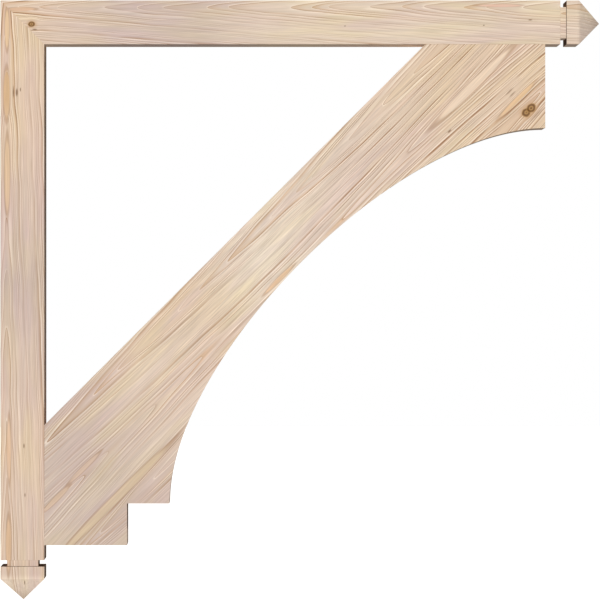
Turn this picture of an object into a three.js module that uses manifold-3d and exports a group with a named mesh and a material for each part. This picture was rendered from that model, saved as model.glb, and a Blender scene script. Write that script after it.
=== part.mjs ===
// Wooden corbel bracket: a wall post and a top beam, mitred at the corner, and one diagonal brace.
// The free ends of post and beam are cut to a low pyramid above a square groove, and the brace has a
// straight upper edge, a curved lower edge and a stepped foot.
// Millimetres, +X out from the wall, +Z up, thickness along Y. The origin is the middle of the flat
// face that lies against the wall.

import * as THREE from "three";
import { mergeVertices } from "three/addons/utils/BufferGeometryUtils.js";
import Module from "manifold-3d";

// Driving dimensions
const OVERALL = 1219.2; // wall face to the beam's point, and top face to the post's point
const TIMBER = 88.9; // side of the square post and beam, and thickness of the brace
const BLOCK_LENGTH = 25.4; // straight block between groove and pyramid
const GROOVE_WIDTH = 12.7; // groove that runs round all four sides
const GROOVE_DEPTH = 12.7;
const OPENING_LEG = 773.4; // leg of the triangular opening between the three timbers
const BRACE_REACH = 1106; // wall face to the brace's nose, and top face to its foot
const NOSE_HEIGHT = 170.2; // height of the brace's upright end under the beam
const FOOT_WIDTH = 168.2; // width of the brace's level end beside the post
const STEP_HEIGHT = 84.7; // riser between the foot and the curve's lower end
const STEP_WIDTH = 85.9; // tread between the foot and the curve's lower end
const CURVE_HANDLE = 297; // how far the curve's ends pull along the level and the upright
const JOINT_GAP = 0.3; // hairline between touching timbers
const CURVE_STEPS = 48; // straight lengths along the curved edge

// Worked out from them
const HALF = TIMBER / 2;
const POINT_HEIGHT = HALF; // the pyramid's faces slope at 45 degrees
const POINT_BASE = OVERALL - POINT_HEIGHT;
const BLOCK_START = POINT_BASE - BLOCK_LENGTH;
const SHOULDER = BLOCK_START - GROOVE_WIDTH;
const WALL_FACE_MIDDLE = SHOULDER / 2;
const CUT_MARGIN = 10;

const OUT = new THREE.Vector3(1, 0, 0);
const UP = new THREE.Vector3(0, 0, 1);

const wasm = await Module();
wasm.setup();

// A closed geometry as a solid that can be cut
function toSolid(geometry) {
  geometry.deleteAttribute("normal");
  geometry.deleteAttribute("uv");
  const merged = mergeVertices(geometry);
  const index = merged.index.array;
  const triangles = [];
  for (let i = 0; i < index.length; i += 3) {
    const [a, b, c] = [index[i], index[i + 1], index[i + 2]];
    const collapsed = a === b || b === c || c === a;
    if (!collapsed) triangles.push(a, b, c);
  }
  return new wasm.Manifold(new wasm.Mesh({
    numProp: 3,
    vertProperties: new Float32Array(merged.attributes.position.array),
    triVerts: new Uint32Array(triangles),
  }));
}

// A solid back as a geometry
function toGeometry(solid) {
  const mesh = solid.getMesh();
  const geometry = new THREE.BufferGeometry();
  geometry.setAttribute("position", new THREE.BufferAttribute(mesh.vertProperties, 3));
  geometry.setIndex(new THREE.BufferAttribute(mesh.triVerts, 1));
  geometry.computeVertexNormals();
  return geometry;
}

// One square timber along local +Y from the bracket's corner, outer face towards local +X: a profile
// turned in four flat sides, then mitred at 45 degrees from the outer face's end.
function mitredTimber() {
  const corner = HALF * Math.SQRT2;
  const neckCorner = (HALF - GROOVE_DEPTH) * Math.SQRT2;
  const profile = [
    new THREE.Vector2(0, 0),
    new THREE.Vector2(corner, 0),
    new THREE.Vector2(corner, SHOULDER),
    new THREE.Vector2(neckCorner, SHOULDER),
    new THREE.Vector2(neckCorner, BLOCK_START),
    new THREE.Vector2(corner, BLOCK_START),
    new THREE.Vector2(corner, POINT_BASE),
    new THREE.Vector2(0, OVERALL),
  ];
  const timber = toSolid(new THREE.LatheGeometry(profile, 4, Math.PI / 4));

  const setBack = (JOINT_GAP / 2) * Math.SQRT2;
  const outer = HALF + CUT_MARGIN;
  const waste = new THREE.Shape();
  waste.moveTo(outer, setBack - CUT_MARGIN);
  waste.lineTo(-outer, TIMBER + CUT_MARGIN + setBack);
  waste.lineTo(-outer, setBack - CUT_MARGIN);
  waste.closePath();
  const cutter = new THREE.ExtrudeGeometry(waste, { depth: 2 * outer, bevelEnabled: false });
  cutter.translate(0, 0, -outer);
  return toGeometry(timber.subtract(toSolid(cutter)));
}

// The brace's outline, x out from the wall face and y down from the top face as negative heights
function braceOutline() {
  const edge = TIMBER + JOINT_GAP;
  const diagonal = 2 * TIMBER + OPENING_LEG;
  const noseBottom = TIMBER + NOSE_HEIGHT;
  const footEnd = TIMBER + FOOT_WIDTH;
  const curveEnd = footEnd + STEP_WIDTH;
  const tread = BRACE_REACH - STEP_HEIGHT;

  const outline = new THREE.Shape();
  outline.moveTo(edge, -(diagonal - edge));
  outline.lineTo(edge, -BRACE_REACH);
  outline.lineTo(footEnd, -BRACE_REACH);
  outline.lineTo(footEnd, -tread);
  outline.lineTo(curveEnd, -tread);
  outline.bezierCurveTo(
    curveEnd, -(tread - CURVE_HANDLE),
    BRACE_REACH - CURVE_HANDLE, -noseBottom,
    BRACE_REACH, -noseBottom,
  );
  outline.lineTo(BRACE_REACH, -edge);
  outline.lineTo(diagonal - edge, -edge);
  outline.closePath();
  return outline;
}

function braceGeometry() {
  const geometry = new THREE.ExtrudeGeometry(braceOutline(), {
    depth: TIMBER,
    bevelEnabled: false,
    curveSegments: CURVE_STEPS,
  });
  geometry.translate(0, 0, -HALF);
  geometry.rotateX(Math.PI / 2);
  return geometry;
}

function piece(name, geometry, color) {
  const material = new THREE.MeshStandardMaterial({ color, roughness: 0.7, metalness: 0 });
  const mesh = new THREE.Mesh(geometry, material);
  mesh.name = name;
  return mesh;
}

// Turns a timber so that its length runs along one direction and its outer face looks along another
function lay(mesh, along, outer) {
  const depth = outer.clone().cross(along);
  mesh.quaternion.setFromRotationMatrix(new THREE.Matrix4().makeBasis(outer, along, depth));
}

const timberGeometry = mitredTimber();

const beam = piece("beam", timberGeometry, "#dbc5b0");
lay(beam, OUT, UP);
beam.position.set(0, 0, -HALF);

const post = piece("post", timberGeometry, "#d9c0aa");
lay(post, UP.clone().negate(), OUT.clone().negate());
post.position.set(HALF, 0, 0);

const brace = piece("brace", braceGeometry(), "#dbc4af");

// The three timbers hang from the corner where the wall face meets the top face
const corner = new THREE.Group();
corner.position.set(0, 0, WALL_FACE_MIDDLE);
corner.add(beam, post, brace);

const bracket = new THREE.Group();
bracket.name = "corbel_bracket";
bracket.add(corner);

export default bracket;
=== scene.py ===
from dataclasses import dataclass
from functools import partial
from math import pi, radians, sqrt

import bmesh
import bpy
from bpy.props import FloatProperty, FloatVectorProperty, PointerProperty
from bpy.types import Node, NodeSocket, Operator, Panel, PropertyGroup
from mathutils import Matrix, Vector


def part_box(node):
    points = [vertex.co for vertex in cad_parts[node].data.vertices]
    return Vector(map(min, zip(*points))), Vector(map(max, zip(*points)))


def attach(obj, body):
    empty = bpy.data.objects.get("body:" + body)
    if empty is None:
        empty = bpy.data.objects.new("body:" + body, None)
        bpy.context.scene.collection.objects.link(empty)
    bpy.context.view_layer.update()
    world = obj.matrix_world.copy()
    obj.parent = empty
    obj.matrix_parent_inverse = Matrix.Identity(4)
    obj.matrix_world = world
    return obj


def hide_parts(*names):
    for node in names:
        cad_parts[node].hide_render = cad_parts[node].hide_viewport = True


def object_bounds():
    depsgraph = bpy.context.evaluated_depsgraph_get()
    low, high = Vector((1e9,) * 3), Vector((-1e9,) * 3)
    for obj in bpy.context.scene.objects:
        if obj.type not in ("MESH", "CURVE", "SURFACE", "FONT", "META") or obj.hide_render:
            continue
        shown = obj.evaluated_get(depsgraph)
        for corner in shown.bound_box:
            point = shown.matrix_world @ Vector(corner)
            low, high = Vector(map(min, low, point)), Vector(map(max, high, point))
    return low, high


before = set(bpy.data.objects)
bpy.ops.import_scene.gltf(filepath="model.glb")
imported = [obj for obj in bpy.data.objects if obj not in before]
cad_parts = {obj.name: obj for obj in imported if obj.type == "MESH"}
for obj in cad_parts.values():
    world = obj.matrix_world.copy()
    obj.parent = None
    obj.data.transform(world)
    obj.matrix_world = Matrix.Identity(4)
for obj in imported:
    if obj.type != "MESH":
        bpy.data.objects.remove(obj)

CAD_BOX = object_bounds()

bl_info = {
    "name": "Timber Corbel Bracket",
    "version": (1, 0, 0),
    "blender": (4, 5, 0),
    "location": "View3D > Sidebar > Bracket",
    "description": "Builds a planed fir wall bracket of a post, a beam and a curved brace",
    "category": "Object",
}

# Sizes read from the frame, in metres
MM = 0.001
BEAM_LOW, BEAM_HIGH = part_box("beam")
TOP = BEAM_HIGH.z
FRONT = BEAM_LOW.y
TIMBER = BEAM_HIGH.z - BEAM_LOW.z
OVERALL = BEAM_HIGH.x
BRACE_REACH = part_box("brace")[1].x

# Millimetres from the bracket's outer corner to the foot of each pyramid
PYRAMID_START = (OVERALL - TIMBER / 2) / MM

# The photograph's frame in pixels, the bracket's outer corner in it, and what one pixel measures
FRAME_PX = 600
CORNER_PX = (0.45, 0.4)
PX = 2.030 * MM

# How near points are merged, from what angle an edge is sanded or sharp, and how finely curves are cut
MERGE_DISTANCE = 0.01 * MM
ARRIS_ANGLE = radians(30)
SHARP_ANGLE = radians(20)
ARRIS_SEGMENTS = 2
CURVE_POINTS = 128

# Ring lines in millimetres: how far each fades out before a ring's end or after it, and where it is full
DARK_FADE, DARK_FULL = 2.2, 0.3
PALE_FADE, PALE_FULL = 2.6, 0.6
PALE_MOST = 0.65

# The wave that counts the rings is eased at its turns, and its slope is taken to be at least this
TURN_EASE = 0.978
LEAST_SLOPE = 0.08

# Half the length in millimetres over which the rings straighten at a pyramid's foot
PYRAMID_EASE = 2.0

# Millimetres from a figure's point within which its middle values hold, and past which its others do
NEAR_POINT, FAR_FROM_POINT = 120.0, 420.0

# Kinds of node that the trees use most
MATH = "ShaderNodeMath"
VECTOR = "ShaderNodeVectorMath"
RANGE = "ShaderNodeMapRange"
MIX = "ShaderNodeMix"


def linear(code):
    """An sRGB hex colour as linear red, green, blue and alpha."""
    parts = [int(code[i:i + 2], 16) / 255 for i in (1, 3, 5)]
    return (*[c / 12.92 if c <= 0.04045 else ((c + 0.055) / 1.055) ** 2.4 for c in parts], 1.0)


def spot(out_px, down_px):
    """A point on the front faces from its pixel in the photograph."""
    out = (out_px - CORNER_PX[0]) * PX
    down = (down_px - CORNER_PX[1]) * PX
    return Vector((out, FRONT, TOP - down))


def add_node(tree, kind, *values, sockets=None, **settings):
    """Adds one node. Settings are its properties. Values fill its open inputs in order and sockets
    fill them by name: a node or a socket is linked, and anything else is set."""
    node = tree.nodes.new(kind)
    for name, value in settings.items():
        setattr(node, name, value)
    while hasattr(node, "index_switch_items") and len(node.index_switch_items) < len(values) - 1:
        node.index_switch_items.new()
    inputs = [socket for socket in node.inputs if socket.enabled]
    given = list(zip(inputs, values))
    for name, value in (sockets or {}).items():
        given.append((next(socket for socket in inputs if socket.name == name), value))
    for socket, value in given:
        if isinstance(value, Node):
            value = next(output for output in value.outputs if output.enabled)
        if isinstance(value, NodeSocket):
            tree.links.new(value, socket)
        else:
            socket.default_value = value
    return node


@dataclass
class Mark:
    """A knot, fleck or lens in the wood: its pixel in the photograph, its half length, half width and
    half depth in millimetres, how strongly the rings part round it, and how far in its own sizes. A
    lens has a colour, and a fleck has a strength, which is how dark it is."""
    kind: str
    px: tuple
    length: float
    width: float
    depth: float = 24.0
    part: float = 0.0
    reach: float = 1.7
    colour: str = ""
    strength: float = 0.75


@dataclass
class Figure:
    """How the growth rings lie in one timber, in millimetres along, into and across the wood from a
    point on the line where the rings lie flat to the front face. How plain the wood is between two
    such lines, the contrast of the ring lines and the swing of the fibres are each given for the
    wood before that point, round it and past it, and tones are colours along the length; on the
    post and the beam the last tones paint light or shade onto the pyramid."""
    turn: float
    origin_px: tuple
    ring: float
    repeat: float
    taper: float
    lean: float
    sway: float
    lens: float
    lens_length: float
    plain: tuple
    contrast: tuple
    fibre: tuple
    tones: tuple
    seed: float
    bowl: float = 0.0
    marks: tuple = ()


# Level grain: pointed arches in a line near the beam's top edge open towards its free end
BEAM_FIGURE = Figure(
    turn=0.0, origin_px=(0.0, 7.2), ring=5.6, repeat=196.0, taper=-0.085, lean=0.9, sway=5.0,
    lens=3.0, lens_length=140.0, plain=(0.55, 0.55, 0.55), contrast=(1.35, 1.35, 0.9),
    fibre=(0.32, 0.32, 0.3), seed=3.1,
    # The last tone is painted shade: it darkens the beam's pyramid below the shaft's colour
    tones=((60, "#f3efe9"), (230, "#e1dee8"), (400, "#dfdee6"), (540, "#f1f2f0"), (1172, "#f0f0ee"),
           (1180, "#d7d8d9")),
    marks=(
        Mark("knot", px=(31.6, 24.2), length=7.2, width=5.8, part=0.75, reach=3.6),
        Mark("fleck", px=(34.6, 29.4), length=5.5, width=1.7),
        Mark("lens", px=(22.0, 9.0), length=30.0, width=4.0, part=0.8, reach=1.9, colour="#d2a884"),
        Mark("fleck", px=(345.0, 26.0), length=2.2, width=1.1),
        Mark("fleck", px=(483.8, 25.3), length=2.2, width=1.2),
        Mark("fleck", px=(530.2, 19.9), length=4.6, width=1.5),
        Mark("lens", px=(500.0, 5.5), length=50.0, width=3.0, part=0.4, reach=1.9, colour="#dcb19b"),
    ),
)

# Upright grain: a chain of long tan lenses near the post's wall edge, then arches that open downwards
POST_FIGURE = Figure(
    turn=radians(90), origin_px=(7.0, 0.0), ring=5.4, repeat=186.0, taper=-0.04, lean=0.8, sway=3.5,
    lens=5.0, lens_length=110.0, plain=(0.5, 0.5, 0.5), contrast=(1.1, 1.1, 0.9),
    fibre=(0.36, 0.36, 0.36), seed=11.7,
    # The last two tones are painted light: they lighten the post's pyramid as if it were lit from below
    tones=((250, "#f2ede7"), (570, "#dedbe4"), (890, "#efe9e7"), (1166, "#e9e4e6"), (1178, "#ffffff")),
    marks=(
        Mark("lens", px=(7.0, 29.0), length=44.0, width=4.8, part=0.85, colour="#dab88a"),
        Mark("lens", px=(6.6, 94.0), length=55.0, width=6.8, part=0.9, colour="#cfa878"),
        Mark("lens", px=(7.2, 176.0), length=84.0, width=6.0, part=0.85, reach=1.6, colour="#d9b68c"),
        Mark("lens", px=(8.5, 545.0), length=60.0, width=5.5, part=0.7, colour="#d6ad83"),
        Mark("lens", px=(9.0, 450.0), length=70.0, width=4.5, part=0.6, colour="#dbb693"),
        Mark("fleck", px=(13.4, 92.0), length=14.0, width=1.5),
        Mark("fleck", px=(16.8, 92.5), length=9.0, width=2.4),
        Mark("fleck", px=(20.4, 89.5), length=4.5, width=1.2),
        Mark("fleck", px=(24.0, 446.0), length=5.5, width=1.6),
        Mark("fleck", px=(25.0, 495.0), length=5.0, width=1.3),
        Mark("fleck", px=(24.5, 583.0), length=6.0, width=1.5),
    ),
)

# Grain up the brace: arches by its upper edge, a second line of tongues and lenses along its middle,
# and a broad tan stripe through the foot
BRACE_FIGURE = Figure(
    turn=radians(-45), origin_px=(244.0, 244.5), ring=5.2, repeat=206.0, taper=-0.056, lean=0.8,
    sway=6.0, lens=4.0, lens_length=170.0, plain=(0.45, 0.35, 0.75), contrast=(0.82, 0.85, 1.9),
    fibre=(0.3, 0.7, 0.5), seed=7.3, bowl=5e-5,
    tones=((-545, "#dedde2"), (-320, "#f1f0f0"), (-150, "#f1efea"), (0, "#f8fdff"),
           (320, "#f1f0f0"), (560, "#f0e9e1")),
    marks=(
        Mark("lens", px=(473.6, 85.2), length=118.0, width=10.0, part=0.85, reach=1.6, colour="#ead3b9"),
        Mark("lens", px=(517.0, 100.0), length=55.0, width=5.5, part=0.8, reach=1.8, colour="#d9b283"),
        Mark("lens", px=(279.0, 279.5), length=44.0, width=4.5, part=0.7, reach=1.8, colour="#d9ae80"),
        Mark("lens", px=(115.0, 499.5), length=170.0, width=9.0, part=0.45, reach=1.6, colour="#ceb692"),
        Mark("lens", px=(84.0, 468.0), length=48.0, width=5.0, part=0.7, colour="#cdb096"),
        Mark("lens", px=(56.0, 499.0), length=40.0, width=5.4, part=0.7, colour="#cbad90"),
        Mark("knot", px=(526.3, 112.6), length=9.6, width=9.0, part=0.35, reach=2.2),
        Mark("knot", px=(531.3, 108.2), length=10.6, width=8.6, part=0.35, reach=2.2),
        Mark("fleck", px=(449.5, 131.2), length=5.2, width=1.9),
        Mark("fleck", px=(537.5, 113.8), length=20.0, width=3.4, strength=0.35),
        Mark("fleck", px=(509.5, 91.4), length=12.0, width=2.2, strength=0.45),
        Mark("fleck", px=(512.3, 94.2), length=9.0, width=2.0, strength=0.45),
    ),
)


class BracketSizes(PropertyGroup):
    """Sizes of the timbers that the frame's boxes don't give."""
    groove_width: FloatProperty(
        name="Groove width", description="Width of the square groove before each pointed end",
        default=12.7 * MM, unit="LENGTH")
    groove_depth: FloatProperty(
        name="Groove depth", description="How deep the groove is cut on all four sides",
        default=12.7 * MM, unit="LENGTH")
    block_length: FloatProperty(
        name="Block length", description="Straight block between the groove and the pyramid",
        default=25.4 * MM, unit="LENGTH")
    opening_leg: FloatProperty(
        name="Opening leg", description="Leg of the open triangle between the three timbers",
        default=773.4 * MM, unit="LENGTH")
    nose_height: FloatProperty(
        name="Nose height", description="Height of the brace's upright end under the beam",
        default=170.2 * MM, unit="LENGTH")
    foot_width: FloatProperty(
        name="Foot width", description="Width of the brace's level end beside the post",
        default=168.2 * MM, unit="LENGTH")
    step_height: FloatProperty(
        name="Step height", description="Riser between the foot and the curve's lower end",
        default=84.7 * MM, unit="LENGTH")
    step_width: FloatProperty(
        name="Step width", description="Tread between the foot and the curve's lower end",
        default=85.9 * MM, unit="LENGTH")
    curve_handle: FloatProperty(
        name="Curve handle", description="How far the curve's ends pull along level and upright",
        default=297.0 * MM, unit="LENGTH")
    arris: FloatProperty(
        name="Arris", description="Width of the fine chamfer sanded on the outer edges",
        default=0.5 * MM, unit="LENGTH")
    seam: FloatProperty(
        name="Seam", description="Hairline left on each timber where two of them meet",
        default=0.02 * MM, unit="LENGTH")


class BracketWood(PropertyGroup):
    """Colours of the planed fir."""
    body: FloatVectorProperty(
        name="Body", description="Plain wood between the ring lines",
        subtype="COLOR", size=4, min=0, max=1, default=linear("#e3cfba"))
    pink: FloatVectorProperty(
        name="Pink", description="Pinker cast of the plain wood",
        subtype="COLOR", size=4, min=0, max=1, default=linear("#dec6b7"))
    straw: FloatVectorProperty(
        name="Straw", description="Yellower cast near the lines where rings lie flat to the face",
        subtype="COLOR", size=4, min=0, max=1, default=linear("#e6d2b0"))
    early: FloatVectorProperty(
        name="Early wood", description="Pale line where each ring starts",
        subtype="COLOR", size=4, min=0, max=1, default=linear("#f6e6d2"))
    late: FloatVectorProperty(
        name="Late wood", description="Dark line where each ring ends",
        subtype="COLOR", size=4, min=0, max=1, default=linear("#9c7350"))
    tan: FloatVectorProperty(
        name="Tan", description="Ripe wood towards a ring's end, and round knots",
        subtype="COLOR", size=4, min=0, max=1, default=linear("#cda57b"))
    # End grain is darker than the face, and this colour deepens it into painted shade for the grooves'
    # shadowed end-grain walls
    end_grain_and_painted_shade: FloatVectorProperty(
        name="End grain", description="What the wood's colour is multiplied by on faces cut across it",
        subtype="COLOR", size=4, min=0, max=1, default=linear("#6f5339"))
    knot: FloatVectorProperty(
        name="Knot", description="Heart of a knot",
        subtype="COLOR", size=4, min=0, max=1, default=linear("#b08449"))
    bark: FloatVectorProperty(
        name="Bark", description="Dark rings of a knot, and flecks",
        subtype="COLOR", size=4, min=0, max=1, default=linear("#6a420f"))


def streaks(add, grain, size_mm, seed, detail=1.0):
    """Soft streaks from 0 to 1, with their length, depth and width in millimetres."""
    stretched = add(VECTOR, grain, [1 / size for size in size_mm], operation="MULTIPLY")
    return add("ShaderNodeTexNoise", stretched, seed, 1.0, detail, noise_dimensions="4D")


def placed_marks(add, figure, grain, origin):
    """Each mark with its offset and its distance, which is 1 at the mark's rim."""
    to_grain = Matrix.Rotation(figure.turn, 3, "Y").transposed()
    placed = []
    for mark in figure.marks:
        centre = to_grain @ (spot(*mark.px) - origin) / MM
        offset = add(VECTOR, grain, centre, operation="SUBTRACT")
        sizes = (1 / mark.length, 1 / mark.depth, 1 / mark.width)
        scaled = add(VECTOR, offset, sizes, operation="MULTIPLY")
        placed.append((mark, offset, add(VECTOR, scaled, operation="LENGTH")))
    return placed


def ring_count(add, figure, grain, marks):
    """Counts the rings through the wood. They lie flat to the front where the wave across the face
    turns back, stand straight between, and part round knots and lenses. Also gives how many
    millimetres one ring takes, and how near the wood is to a turning line."""
    along, into, across = add("ShaderNodeSeparateXYZ", grain).outputs
    # The rings lean into the wood, but stand straight in the pyramids, so that lines run on to the tip
    lean = add(RANGE, along, PYRAMID_START - PYRAMID_EASE, PYRAMID_START + PYRAMID_EASE,
               figure.lean, 0.0)
    side = add(MATH, into, lean, across, operation="MULTIPLY_ADD")
    swerves = (((320, 70, 60), figure.sway), ((70, 20, 14), 1.2))
    for number, (size_mm, swing) in enumerate(swerves):
        noise = streaks(add, grain, size_mm, figure.seed + number)
        side = add(MATH, side, add(RANGE, noise, 0.0, 1.0, -swing, swing), operation="ADD")
    for mark, offset, distance in marks:
        if mark.part:
            pull = add(RANGE, distance, 0.0, mark.reach, -mark.part, 0.0, interpolation_type="SMOOTHSTEP")
            away = add("ShaderNodeSeparateXYZ", offset).outputs["Z"]
            side = add(MATH, away, pull, side, operation="MULTIPLY_ADD")

    turn = add(MATH, side, 2 * pi / figure.repeat, operation="MULTIPLY")
    wave = add(MATH, turn, operation="COSINE")
    angle = add(MATH, add(MATH, wave, TURN_EASE, operation="MULTIPLY"), operation="ARCCOSINE")
    slope = add(MATH, add(MATH, turn, operation="SINE"), add(MATH, angle, operation="SINE"),
                operation="DIVIDE")
    steep = add(MATH, add(MATH, slope, operation="ABSOLUTE"), LEAST_SLOPE, operation="MAXIMUM")
    ring_mm = add(MATH, figure.ring, steep, operation="DIVIDE")
    near_turn = add(MATH, wave, wave, operation="MULTIPLY")

    taper = add(MATH, along, figure.taper, operation="MULTIPLY")
    if figure.bowl:
        bowl = add(MATH, add(MATH, along, along, operation="MULTIPLY"), figure.bowl, operation="MULTIPLY")
        inner = add(RANGE, across, -0.08 * figure.repeat, -0.36 * figure.repeat)
        taper = add(MIX, inner, taper, bowl)
    noise = streaks(add, grain, (figure.lens_length, 150, 150), figure.seed + 2)
    lens = add(RANGE, noise, 0.0, 1.0, -figure.lens, figure.lens)
    radius = add(MATH, angle, figure.repeat / (2 * pi), add(MATH, taper, lens, operation="ADD"),
                 operation="MULTIPLY_ADD")
    even = add(MATH, radius, figure.ring, operation="DIVIDE")
    crowd = add("ShaderNodeTexNoise", even, 0.45, 0.0, noise_dimensions="1D")
    return add(MATH, crowd, 2.2, even, operation="MULTIPLY_ADD"), ring_mm, near_turn


def along_length(add, grain, values):
    """A value that changes along the grain: before the figure's point, round it and past it."""
    before, middle, past = values
    along = add("ShaderNodeSeparateXYZ", grain).outputs["X"]
    rise = add(RANGE, along, NEAR_POINT, FAR_FROM_POINT, middle, past)
    fall = add(RANGE, along, -NEAR_POINT, -FAR_FROM_POINT, 0.0, before - middle)
    return add(MATH, rise, fall, operation="ADD")


def ring_lines(add, figure, grain, rings, marks, cut):
    """Dark line before each ring's end and pale line after it, some rings stronger than others and none
    inside a lens, and how ripe the wood is between two lines, from 0 to 1."""
    count, ring_mm, near_turn = rings
    phase = add(MATH, count, operation="FRACT")
    chance = add("ShaderNodeTexWhiteNoise", add(MATH, count, operation="FLOOR"), noise_dimensions="1D")
    rest = add(MATH, 1.0, phase, operation="SUBTRACT")
    before = add(MATH, rest, ring_mm, operation="MULTIPLY")
    after = add(MATH, phase, ring_mm, operation="MULTIPLY")
    dark = add(RANGE, before, DARK_FADE, DARK_FULL, 0.0, 1.0, interpolation_type="SMOOTHSTEP")
    pale = add(RANGE, after, PALE_FADE, PALE_FULL, 0.0, PALE_MOST,
               interpolation_type="SMOOTHSTEP")

    plain = along_length(add, grain, figure.plain)
    crowded = add(RANGE, near_turn, 0.1, 0.75, plain, 1.0, interpolation_type="SMOOTHSTEP")
    varied = add(RANGE, chance, 0.0, 1.0, 0.4, 0.85)
    noise = streaks(add, grain, (110, 40, 10), figure.seed + 3, 2.0)
    broken = add(RANGE, noise, 0.36, 0.64, 0.15, 1.4)
    uncut = add(RANGE, cut, 0.5, 0.72, 1.0, 0.6)
    strength = along_length(add, grain, figure.contrast)
    calm = [add(RANGE, distance, 0.75, 1.1) for mark, offset, distance in marks if mark.kind == "lens"]
    for factor in (crowded, varied, broken, uncut, *calm):
        strength = add(MATH, strength, factor, operation="MULTIPLY")
    dark = add(MATH, dark, strength, operation="MULTIPLY")
    pale = add(MATH, pale, add(MATH, strength, 0.8, operation="MINIMUM"), operation="MULTIPLY")

    ageing = add(RANGE, phase, 0.25, 1.0, interpolation_type="SMOOTHSTEP")
    ripe = add(MATH, ageing, add(RANGE, chance, 0.2, 1.0, 0.1, 0.75), operation="MULTIPLY")
    return dark, pale, add(MATH, ripe, near_turn, operation="MULTIPLY")


def plain_wood(add, figure, wood, grain, ripe, marks):
    """Wood between the ring lines: pink and straw in soft patches, tan towards a ring's end where
    rings lie flat, tan inside the lenses, and a tone along the timber's length, whose last stops paint
    light on the post's pyramid and shade on the beam's."""
    along = add("ShaderNodeSeparateXYZ", grain).outputs["X"]
    patch = add(RANGE, streaks(add, grain, (260, 60, 42), figure.seed + 4, 2.0), 0.36, 0.64)
    colour = add(MIX, patch, wood.pink, wood.body, data_type="RGBA")
    sunny = add(RANGE, streaks(add, grain, (150, 60, 30), figure.seed + 8), 0.45, 0.68, 0.0, 0.7)
    colour = add(MIX, sunny, colour, wood.straw, data_type="RGBA")
    colour = add(MIX, ripe, colour, wood.tan, data_type="RGBA")

    low, high = figure.tones[0][0], figure.tones[-1][0]
    tone = add("ShaderNodeValToRGB", add(RANGE, along, low, high))
    stops = tone.color_ramp.elements
    while len(stops) < len(figure.tones):
        stops.new(0.5)
    for stop, (mm, code) in zip(stops, figure.tones):
        stop.position = (mm - low) / (high - low)
        stop.color = linear(code)
    # Multiplied in, the tone also paints light on the post's pyramid and shade on the beam's pyramid
    colour = add(MIX, 1.0, colour, tone, data_type="RGBA", blend_type="MULTIPLY")

    for mark, offset, distance in marks:
        if mark.kind == "lens":
            fill = add(RANGE, distance, 1.1, 0.7, 0.0, 0.65, interpolation_type="SMOOTHSTEP")
            colour = add(MIX, fill, colour, linear(mark.colour), data_type="RGBA")
            rim = add(MATH, add(MATH, distance, 1.0, operation="SUBTRACT"), operation="ABSOLUTE")
            outline = add(RANGE, rim, 0.26, 0.04, 0.0, 0.42, interpolation_type="SMOOTHSTEP")
            colour = add(MIX, outline, colour, wood.late, data_type="RGBA")
    return colour


def knots_and_flecks(add, figure, wood, grain, marks, colour):
    """Knots with dark rings of their own in a tan halo, and short dark flecks."""
    rough_edge = add(RANGE, streaks(add, grain, (9, 9, 9), figure.seed + 7), 0.0, 1.0, -0.2, 0.2)
    for mark, offset, distance in marks:
        if mark.kind == "knot":
            halo = add(RANGE, distance, 2.1, 0.9, 0.0, 0.55, interpolation_type="SMOOTHSTEP")
            colour = add(MIX, halo, colour, wood.tan, data_type="RGBA")
    for mark, offset, distance in marks:
        edge = add(MATH, distance, rough_edge, operation="ADD")
        if mark.kind == "fleck":
            fill = add(RANGE, edge, 1.3, 0.3, 0.0, mark.strength, interpolation_type="SMOOTHSTEP")
            colour = add(MIX, fill, colour, wood.bark, data_type="RGBA")
        elif mark.kind == "knot":
            turn = add(MATH, edge, 3 * pi, pi, operation="MULTIPLY_ADD")
            ring = add(RANGE, add(MATH, turn, operation="COSINE"), 0.9, -0.6, 0.05, 1.0)
            heart = add(MIX, ring, wood.knot, wood.bark, data_type="RGBA")
            fill = add(RANGE, edge, 1.12, 0.86, 0.0, 0.9, interpolation_type="SMOOTHSTEP")
            colour = add(MIX, fill, colour, heart, data_type="RGBA")
    return colour


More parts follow.
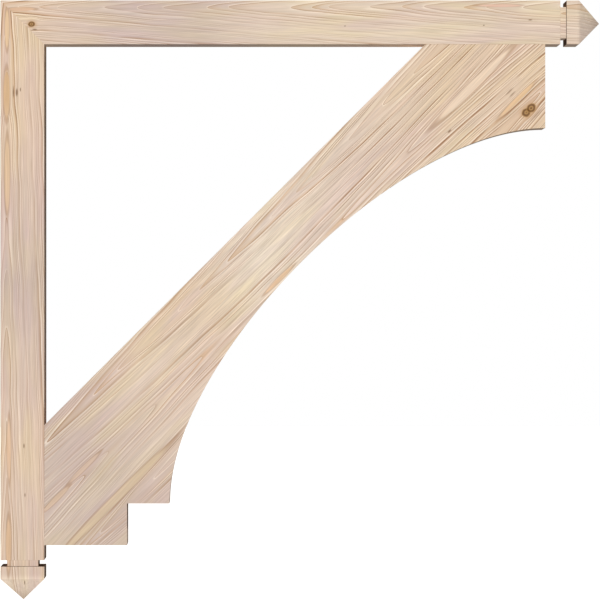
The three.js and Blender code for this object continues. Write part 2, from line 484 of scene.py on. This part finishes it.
def fir(name, figure, wood):
    """Planed fir, bare: thin dark ring lines with a pale line beside each, crowded into bands with
    plain pink wood between, silky fibre streaks and a matt face."""
    material = bpy.data.materials.new(name)
    material.use_nodes = True
    tree = material.node_tree
    tree.nodes.clear()
    add = partial(add_node, tree)

    # Millimetres along the grain, into the wood and across the front face
    origin = spot(*figure.origin_px)
    place = add("ShaderNodeTexCoord").outputs["Object"]
    grain = add("ShaderNodeMapping", place, origin, (0, figure.turn, 0), (MM, MM, MM),
                vector_type="TEXTURE")
    fibres = Matrix.Rotation(figure.turn, 3, "Y") @ Vector((1, 0, 0))
    facing = add("ShaderNodeNewGeometry").outputs["Normal"]
    cut = add(MATH, add(VECTOR, facing, fibres, operation="DOT_PRODUCT"), operation="ABSOLUTE")

    marks = placed_marks(add, figure, grain, origin)
    rings = ring_count(add, figure, grain, marks)
    dark, pale, ripe = ring_lines(add, figure, grain, rings, marks, cut)
    colour = plain_wood(add, figure, wood, grain, ripe, marks)
    colour = add(MIX, pale, colour, wood.early, data_type="RGBA")
    colour = add(MIX, dark, colour, wood.late, data_type="RGBA")

    # Fibres, drawn about twice as coarse as real ones so that they show
    broad = add(RANGE, streaks(add, grain, (150, 8, 5), figure.seed + 5, 2.0), 0.0, 1.0, 0.82, 1.21)
    fine = streaks(add, grain, (50, 2.6, 2.4), figure.seed + 6, 2.0)
    off_mean = add(MATH, fine, 0.5, operation="SUBTRACT")
    hair = add(MATH, off_mean, along_length(add, grain, figure.fibre), 1.1, operation="MULTIPLY_ADD")
    fibre = add(MATH, broad, hair, operation="MULTIPLY")
    colour = add(VECTOR, colour, sockets={"Scale": fibre}, operation="SCALE")
    colour = knots_and_flecks(add, figure, wood, grain, marks, colour)

    # Cut across the fibres the wood is darker. This is deepened into painted shade, which paints the deep
    # shadow on the grooves' end-grain walls
    end_grain_and_painted_shade = add(RANGE, cut, 0.74, 1.0, 0.0, 0.85, interpolation_type="SMOOTHSTEP")
    shaded_end_grain = add(MIX, 1.0, colour, wood.end_grain_and_painted_shade, data_type="RGBA", blend_type="MULTIPLY")
    colour = add(MIX, end_grain_and_painted_shade, colour, shaded_end_grain, data_type="RGBA")

    height = add(MATH, fine, 0.6, dark, operation="MULTIPLY_ADD")
    bump = add("ShaderNodeBump", sockets={"Strength": 0.3, "Distance": 0.15 * MM, "Height": height})
    rough = add(RANGE, dark, 0.0, 1.0, 0.68, 0.56)
    surface = add("ShaderNodeBsdfPrincipled", sockets={
        "Base Color": colour, "Roughness": rough, "Normal": bump, "IOR": 1.5,
        "Specular IOR Level": 0.3})
    add("ShaderNodeOutputMaterial", surface)
    return material


def new_tree(name, inputs):
    """An empty geometry tree with named inputs, its input sockets and the identifier of each."""
    tree = bpy.data.node_groups.new(name, "GeometryNodeTree")
    tree.interface.new_socket("Geometry", in_out="OUTPUT", socket_type="NodeSocketGeometry")
    names = {}
    for label, kind in inputs.items():
        names[label] = tree.interface.new_socket(label, in_out="INPUT", socket_type=kind).identifier
    return tree, tree.nodes.new("NodeGroupInput").outputs, names


def end_tree(add, geometry, bevelled, material):
    """Weighs the edges to bevel, then realizes the mesh and gives it its material."""
    angle = add("GeometryNodeInputMeshEdgeAngle").outputs["Signed Angle"]
    outer = add(MATH, angle, ARRIS_ANGLE, operation="GREATER_THAN")
    weight = add(MATH, outer, bevelled, operation="MULTIPLY")
    marked = add("GeometryNodeStoreNamedAttribute", sockets={
        "Geometry": geometry, "Name": "bevel_weight_edge", "Value": weight},
        data_type="FLOAT", domain="EDGE")
    real = add("GeometryNodeRealizeInstances", marked)
    add("NodeGroupOutput", add("GeometryNodeSetMaterial", sockets={"Geometry": real, "Material": material}))


def timber_tree():
    """A square timber along +X with its outer face up: mitre, shaft, groove, block and pyramid.
    A grid of stations along the timber by corners round it is folded into shape."""
    tree, given, names = new_tree("pointed_timber", {
        "Length": "NodeSocketFloat", "Side": "NodeSocketFloat", "Groove Width": "NodeSocketFloat",
        "Groove Depth": "NodeSocketFloat", "Block Length": "NodeSocketFloat",
        "Seam": "NodeSocketFloat", "Material": "NodeSocketMaterial"})
    add = partial(add_node, tree)

    half = add(MATH, given["Side"], 0.5, operation="MULTIPLY")
    neck = add(MATH, half, given["Groove Depth"], operation="SUBTRACT")
    tip = given["Length"]
    base = add(MATH, tip, half, operation="SUBTRACT")
    block = add(MATH, base, given["Block Length"], operation="SUBTRACT")
    shoulder = add(MATH, block, given["Groove Width"], operation="SUBTRACT")
    stations = ((0.0, 0.0), (0.0, half), (shoulder, half), (shoulder, neck), (block, neck),
                (block, half), (base, half), (tip, 0.0))
    corners = 4

    grid = add("GeometryNodeMeshGrid", sockets={"Vertices X": len(stations), "Vertices Y": corners + 1})
    index = add("GeometryNodeInputIndex")
    station = add(MATH, add(MATH, index, corners + 1.0, operation="DIVIDE"), operation="FLOOR")
    corner = add(MATH, index, corners + 1.0, operation="MODULO")
    lengths, reaches = zip(*stations)
    length = add("GeometryNodeIndexSwitch", station, *lengths, data_type="FLOAT")
    reach = add("GeometryNodeIndexSwitch", station, *reaches, data_type="FLOAT")

    angle = add(MATH, corner, pi / 2, pi / 4, operation="MULTIPLY_ADD")
    diagonal = add(MATH, reach, sqrt(2), operation="MULTIPLY")
    depth = add(MATH, add(MATH, angle, operation="COSINE"), diagonal, operation="MULTIPLY")
    height = add(MATH, add(MATH, angle, operation="SINE"), diagonal, operation="MULTIPLY")
    mitre = add(MATH, add(MATH, half, height, operation="SUBTRACT"), given["Seam"], operation="ADD")
    at_mitre = add(MATH, station, 1.5, operation="LESS_THAN")
    out = add(MATH, mitre, at_mitre, length, operation="MULTIPLY_ADD")
    place = add("ShaderNodeCombineXYZ", out, depth, height)
    folded = add("GeometryNodeSetPosition", sockets={"Geometry": grid, "Position": place})
    turned = add("GeometryNodeFlipFaces", folded)
    closed = add("GeometryNodeMergeByDistance", sockets={"Geometry": turned, "Distance": MERGE_DISTANCE})

    # The mitre's own edges stay sharp, so that its seam closes
    x, y, z = add("ShaderNodeSeparateXYZ", add("GeometryNodeInputPosition")).outputs
    from_mitre = add(MATH, add(MATH, x, z, operation="ADD"), half, operation="SUBTRACT")
    past_mitre = add(MATH, from_mitre, 1.0 * MM, operation="GREATER_THAN")
    end_tree(add, closed, past_mitre, given["Material"])
    return tree, names


def brace_tree():
    """The brace: one outline, out from the wall and down from the top, swept through the thickness."""
    sizes = ("Timber", "Opening Leg", "Reach", "Nose Height", "Foot Width", "Step Height", "Step Width",
             "Curve Handle", "Seam", "Top")
    tree, given, names = new_tree("curved_brace", {
        **{size: "NodeSocketFloat" for size in sizes},
        "Curve Points": "NodeSocketInt", "Material": "NodeSocketMaterial"})
    add = partial(add_node, tree)
    point = partial(add, "ShaderNodeCombineXYZ")

    edge = add(MATH, given["Timber"], given["Seam"], operation="ADD")
    diagonal = add(MATH, given["Timber"], 2.0, given["Opening Leg"], operation="MULTIPLY_ADD")
    far = add(MATH, diagonal, edge, operation="SUBTRACT")
    reach = given["Reach"]
    nose = add(MATH, given["Timber"], given["Nose Height"], operation="ADD")
    foot = add(MATH, given["Timber"], given["Foot Width"], operation="ADD")
    curve_foot = add(MATH, foot, given["Step Width"], operation="ADD")
    tread = add(MATH, reach, given["Step Height"], operation="SUBTRACT")
    curve_start = point(curve_foot, tread)
    curve_end = point(reach, nose)

    curve = add("GeometryNodeCurvePrimitiveBezierSegment", sockets={
        "Resolution": given["Curve Points"],
        "Start": curve_start,
        "Start Handle": point(curve_foot, add(MATH, tread, given["Curve Handle"], operation="SUBTRACT")),
        "End Handle": point(add(MATH, reach, given["Curve Handle"], operation="SUBTRACT"), nose),
        "End": curve_end}, mode="POSITION")
    curved = add("GeometryNodeCurveToMesh", curve)

    corners = (curve_end, point(reach, edge), point(far, edge), point(edge, far), point(edge, reach),
               point(foot, reach), point(foot, tread), curve_start)
    line = add("GeometryNodeMeshLine", sockets={"Count": len(corners)})
    index = add("GeometryNodeInputIndex")
    corner = add("GeometryNodeIndexSwitch", index, *corners, data_type="VECTOR")
    straight = add("GeometryNodeSetPosition", sockets={"Geometry": line, "Position": corner})

    joined = add("GeometryNodeJoinGeometry", curved)
    tree.links.new(straight.outputs[0], joined.inputs[0])
    ring = add("GeometryNodeMergeByDistance", sockets={"Geometry": joined, "Distance": MERGE_DISTANCE})
    outline = add("GeometryNodeMeshToCurve", ring)
    half = add(MATH, given["Timber"], 0.5, operation="MULTIPLY")
    back = add(MATH, given["Timber"], -0.5, operation="MULTIPLY")
    path = add("GeometryNodeCurvePrimitiveLine", sockets={
        "Start": point(0.0, 0.0, back), "End": point(0.0, 0.0, half)}, mode="POINTS")
    board = add("GeometryNodeCurveToMesh", sockets={
        "Curve": path, "Profile Curve": outline, "Fill Caps": True})
    solid = add("GeometryNodeMergeByDistance", sockets={"Geometry": board, "Distance": MERGE_DISTANCE})
    upright = add("GeometryNodeTransform", sockets={
        "Geometry": solid, "Translation": point(0.0, 0.0, given["Top"]), "Rotation": (-pi / 2, 0, 0)})
    turned = add("GeometryNodeFlipFaces", upright)
    end_tree(add, turned, 1.0, given["Material"])
    return tree, names


def finished(name, tree, names, values, arris, place=None):
    """Runs a tree once, sands the arrises, and keeps the result as a plain mesh in its place."""
    draft = bpy.data.objects.new(name + "_draft", bpy.data.meshes.new(name + "_draft"))
    bpy.context.scene.collection.objects.link(draft)
    grown = draft.modifiers.new("shape", "NODES")
    grown.node_group = tree
    for label, value in values.items():
        grown[names[label]] = value
    sanded = draft.modifiers.new("arris", "BEVEL")
    sanded.width = arris
    sanded.segments = ARRIS_SEGMENTS
    sanded.limit_method = "WEIGHT"
    evaluated = draft.evaluated_get(bpy.context.evaluated_depsgraph_get())
    mesh = bpy.data.meshes.new_from_object(evaluated)
    mesh.name = name
    if place is not None:
        mesh.transform(place)
    shell = bmesh.new()
    shell.from_mesh(mesh)
    bmesh.ops.recalc_face_normals(shell, faces=shell.faces)
    shell.to_mesh(mesh)
    shell.free()
    mesh.shade_smooth()
    mesh.set_sharp_from_angle(angle=SHARP_ANGLE)
    piece = bpy.data.objects.new(name, mesh)
    bpy.context.scene.collection.objects.link(piece)
    bpy.data.objects.remove(draft)
    if not mesh.polygons:
        raise RuntimeError(name + " came out empty")
    return piece


def stand_in(piece, node):
    """Stands a finished piece in for its node."""
    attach(piece, "root")
    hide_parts(node)


class BRACKET_OT_timbers(Operator):
    """Build the post and the beam, two square timbers with pointed ends that meet in a mitre"""
    bl_idname = "bracket.timbers"
    bl_label = "Post and Beam"

    def execute(self, context):
        sizes, wood = context.scene.bracket_sizes, context.scene.bracket_wood
        tree, names = timber_tree()
        level = Matrix.Translation((0, 0, TOP - TIMBER / 2))
        upright = Matrix((
            (0, 0, -1, TIMBER / 2),
            (0, -1, 0, 0),
            (-1, 0, 0, TOP),
            (0, 0, 0, 1)))
        for node, figure, place in (("beam", BEAM_FIGURE, level), ("post", POST_FIGURE, upright)):
            values = {
                "Length": OVERALL, "Side": TIMBER, "Groove Width": sizes.groove_width,
                "Groove Depth": sizes.groove_depth, "Block Length": sizes.block_length,
                "Seam": sizes.seam, "Material": fir("planed_fir_" + node, figure, wood)}
            stand_in(finished(node + "_timber", tree, names, values, sizes.arris, place), node)
        return {"FINISHED"}


class BRACKET_OT_brace(Operator):
    """Build the diagonal brace with its straight upper edge, curved lower edge and stepped foot"""
    bl_idname = "bracket.brace"
    bl_label = "Brace"

    def execute(self, context):
        sizes, wood = context.scene.bracket_sizes, context.scene.bracket_wood
        tree, names = brace_tree()
        values = {
            "Timber": TIMBER, "Opening Leg": sizes.opening_leg, "Reach": BRACE_REACH,
            "Nose Height": sizes.nose_height, "Foot Width": sizes.foot_width,
            "Step Height": sizes.step_height, "Step Width": sizes.step_width,
            "Curve Handle": sizes.curve_handle, "Seam": sizes.seam, "Top": TOP,
            "Curve Points": CURVE_POINTS, "Material": fir("planed_fir_brace", BRACE_FIGURE, wood)}
        stand_in(finished("brace_board", tree, names, values, sizes.arris), "brace")
        return {"FINISHED"}


class BRACKET_OT_stage(Operator):
    """Set up the pale floor, the soft lights and the camera"""
    bl_idname = "bracket.stage"
    bl_label = "Stage"

    def execute(self, context):
        scene = context.scene
        middle = spot(FRAME_PX / 2, FRAME_PX / 2)

        mesh = bpy.data.meshes.new("floor")
        side, drop = 60.0, 1.6
        low = CAD_BOX[0].z - drop
        mesh.from_pydata([(x * side, y * side, low) for x, y in ((-1, -1), (1, -1), (1, 1), (-1, 1))],
                         [], [(0, 1, 2, 3)])
        floor = bpy.data.objects.new("floor", mesh)
        scene.collection.objects.link(floor)
        pale = bpy.data.materials.new("pale_floor")
        pale.use_nodes = True
        shader = pale.node_tree.nodes["Principled BSDF"]
        shader.inputs["Base Color"].default_value = linear("#f7f6f4")
        shader.inputs["Roughness"].default_value = 0.9
        shader.inputs["Specular IOR Level"].default_value = 0.1
        mesh.materials.append(pale)
        floor.visible_diffuse = False
        floor.visible_glossy = False
        floor.visible_shadow = False

        # Soft lights: direction to the light, strength on a face square to it, width in degrees.
        # Only the front one shows in the wood's sheen, and it casts no shadow into the grooves.
        for name, towards, strength, width in (
                ("front_light", (0.0, -1.0, -0.24), 0.91, 8),
                ("back_light", (0.0, 1.0, 0.2), 0.75, 8),
                ("wall_side_light", (-1.0, 0.3, 0.1), 0.5, 8),
                ("free_end_light", (1.0, 0.0, 0.6), 0.36, 6),
                ("overhead_light", (0.05, 0.0, 1.0), 0.92, 6)):
            data = bpy.data.lights.new(name, "SUN")
            data.energy = strength * pi
            data.angle = radians(width)
            lamp = bpy.data.objects.new(name, data)
            lamp.rotation_euler = Vector(towards).to_track_quat("Z", "Y").to_euler()
            data.use_shadow = name != "front_light"
            lamp.visible_glossy = name == "front_light"
            scene.collection.objects.link(lamp)

        # White beyond the floor, with only a little of it as light from all round
        world = bpy.data.worlds.new("white_surround")
        world.use_nodes = True
        world.node_tree.nodes.clear()
        add = partial(add_node, world.node_tree)
        seen = add("ShaderNodeLightPath").outputs["Is Camera Ray"]
        surround = add("ShaderNodeBackground", (1, 1, 1, 1), add(RANGE, seen, 0.0, 1.0, 0.1, 1.0))
        add("ShaderNodeOutputWorld", surround)
        scene.world = world
        scene.view_settings.view_transform = "Standard"

        # The camera looks square at the front, a little left of the frame's middle
        distance, shift = 7.94, 0.1
        width = FRAME_PX * PX
        data = bpy.data.cameras.new("camera")
        data.sensor_width = 36.0
        data.lens = data.sensor_width * distance / width
        data.shift_x = shift
        data.clip_end = 200.0
        camera = bpy.data.objects.new("camera", data)
        camera.location = middle + Vector((-shift * width, -distance, 0))
        camera.rotation_euler = (pi / 2, 0, 0)
        scene.collection.objects.link(camera)
        scene.camera = camera
        return {"FINISHED"}


class BRACKET_PT_panel(Panel):
    """Sizes, colours and steps of the bracket"""
    bl_idname = "BRACKET_PT_panel"
    bl_label = "Corbel Bracket"
    bl_space_type = "VIEW_3D"
    bl_region_type = "UI"
    bl_category = "Bracket"

    def draw(self, context):
        for group in (context.scene.bracket_sizes, context.scene.bracket_wood):
            for name in group.__annotations__:
                self.layout.prop(group, name)
        for operator in OPERATORS:
            self.layout.operator(operator.bl_idname)


OPERATORS = (BRACKET_OT_timbers, BRACKET_OT_brace, BRACKET_OT_stage)
CLASSES = (BracketSizes, BracketWood, *OPERATORS, BRACKET_PT_panel)


def register():
    for cls in CLASSES:
        bpy.utils.register_class(cls)
    bpy.types.Scene.bracket_sizes = PointerProperty(type=BracketSizes)
    bpy.types.Scene.bracket_wood = PointerProperty(type=BracketWood)


def unregister():
    del bpy.types.Scene.bracket_wood
    del bpy.types.Scene.bracket_sizes
    for cls in reversed(CLASSES):
        bpy.utils.unregister_class(cls)


def main():
    register()
    bpy.ops.bracket.timbers()
    bpy.ops.bracket.brace()
    bpy.ops.bracket.stage()


if __name__ == "__main__":
    main()
